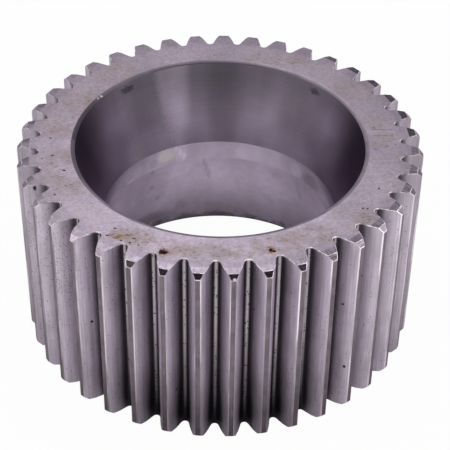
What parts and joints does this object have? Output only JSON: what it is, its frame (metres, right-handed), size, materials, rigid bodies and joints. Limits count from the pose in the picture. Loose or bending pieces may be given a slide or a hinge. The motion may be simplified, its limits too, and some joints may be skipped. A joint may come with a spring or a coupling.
{
  "type": "planet gear",
  "caption": "Steel spur planet gear with bevelled tooth ends and a waisted bore whose two tapered tracks meet at a narrow land",
  "frame": {"origin": "on the gear's axis, in the plane of the lower end face", "axes": "+Z along the gear's axis, up; +Y through the middle of one tooth"},
  "size_m": [0.164, 0.1638, 0.087],
  "materials": {
    "steel": "ground and hobbed, lightly stained"
  },
  "bodies": {
    "root": {"planet_gear": "steel"}
  },
  "joints": []
}
